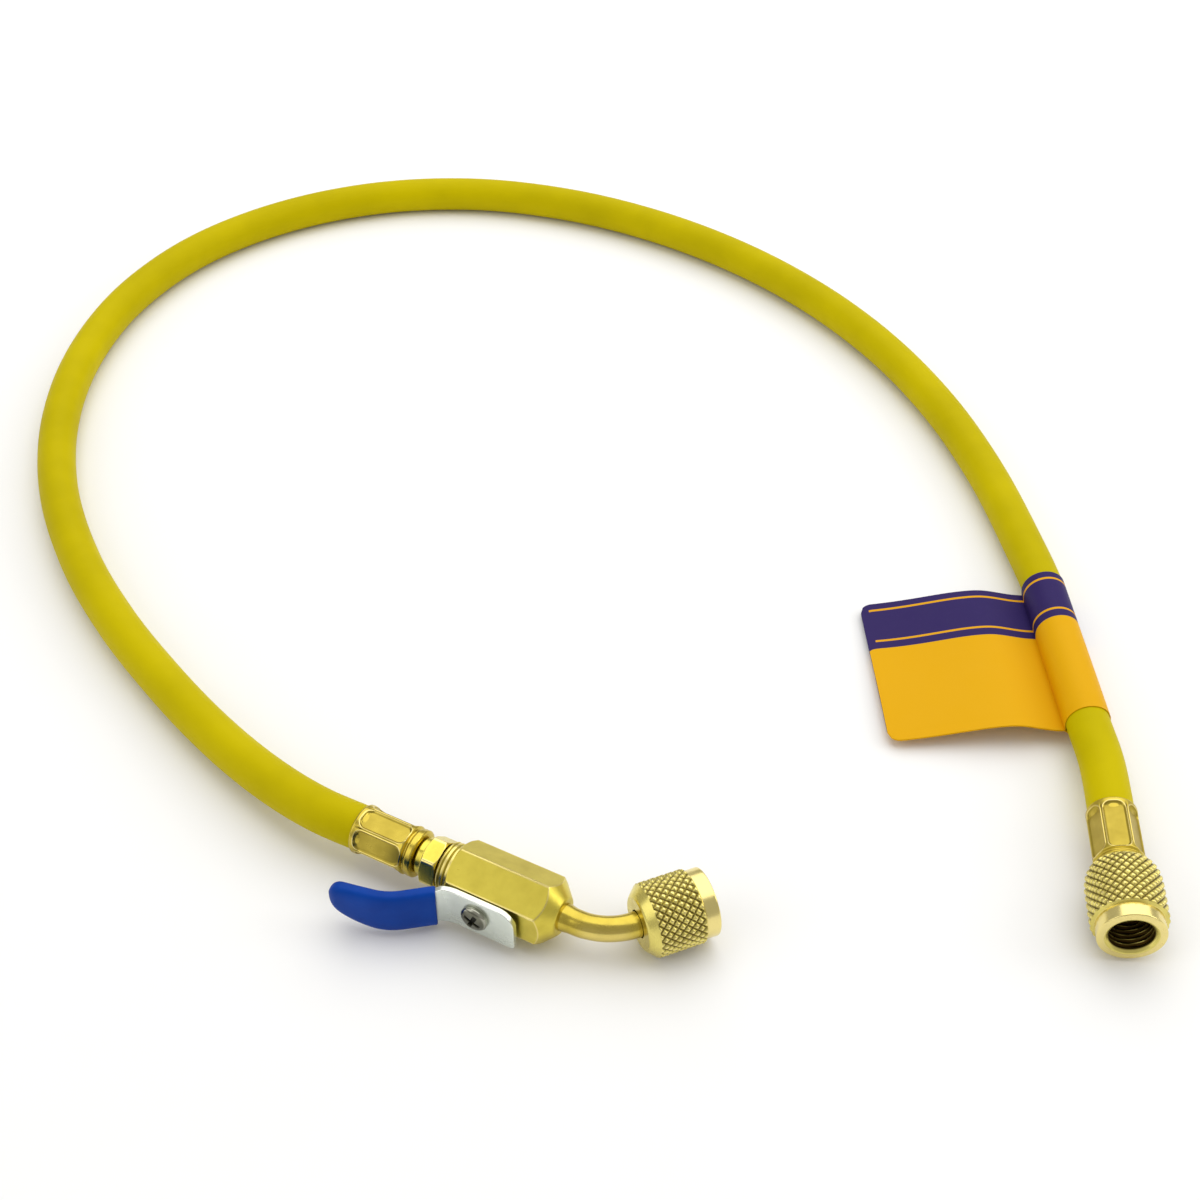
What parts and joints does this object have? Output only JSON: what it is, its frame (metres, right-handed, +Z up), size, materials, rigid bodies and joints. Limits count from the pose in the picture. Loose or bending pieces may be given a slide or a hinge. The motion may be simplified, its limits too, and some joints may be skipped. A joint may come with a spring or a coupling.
{
  "type": "refrigerant charging hose",
  "caption": "Yellow refrigerant charging hose with crimped brass ferrules, a compact ball valve with a blue lever and an elbow at one end, and a knurled flare swivel nut on each end.",
  "frame": {"origin": "on the floor, under the middle of the box round the rigid brass fittings of both ends; the hose itself is left out of that box", "axes": "+Z up, +X to the right from the valve end to the plain end, +Y away from the viewer, towards the far side of the hose's loop"},
  "size_m": [0.299, 0.3401, 0.018],
  "materials": {
    "hose_rubber": "satin yellow extruded rubber cover",
    "label_vinyl": "printed vinyl, orange with a dark violet band",
    "ferrule_brass": "bright golden brass, pressed",
    "turned_brass": "turned brass",
    "body_brass": "satin drawn hexagon brass with fine grain",
    "tube_brass": "glossy bent brass tube",
    "nut_brass": "satin knurled brass",
    "ptfe": "white PTFE",
    "neoprene": "black neoprene",
    "chromed_ball": "polished chrome plate",
    "lever_nickel": "bright nickel plate on steel",
    "grip_vinyl": "glossy dipped blue vinyl",
    "screw_steel": "dark nickel plated steel"
  },
  "bodies": {
    "hose_assembly": {"hose": "hose_rubber", "label": "label_vinyl", "valve_ferrule": "ferrule_brass", "valve_hose_stem": "turned_brass", "valve_body": "body_brass", "seat_ring_hose_side": "ptfe", "seat_ring_elbow_side": "ptfe", "elbow_tube": "tube_brass", "valve_gasket": "neoprene", "core_depressor": "turned_brass", "hose_end_ferrule": "ferrule_brass", "hose_end_stem": "turned_brass", "hose_end_gasket": "neoprene"},
    "lever": {"valve_ball": "chromed_ball", "valve_stem": "turned_brass", "lever_plate": "lever_nickel", "lever_grip": "grip_vinyl", "lever_screw": "screw_steel"},
    "valve_swivel": {"valve_nut": "nut_brass"},
    "hose_end_swivel": {"hose_end_nut": "nut_brass"}
  },
  "joints": [
    {"name": "lever_turn", "type": "hinge", "parent": "hose_assembly", "child": "lever", "pos_m": [-0.0566, -0.0035, 0.0088], "axis": [0.4818, 0.8763, 0], "range_deg": [0, 90]},
    {"name": "valve_nut_spin", "type": "hinge", "parent": "hose_assembly", "child": "valve_swivel", "pos_m": [-0.0244, -0.01397, 0.0088], "axis": [0.9232, 0.3843, 0], "continuous": true},
    {"name": "hose_end_nut_spin", "type": "hinge", "parent": "hose_assembly", "child": "hose_end_swivel", "pos_m": [0.08786, 0.00174, 0.009], "axis": [-0.0715, -0.9974, 0], "continuous": true}
  ]
}
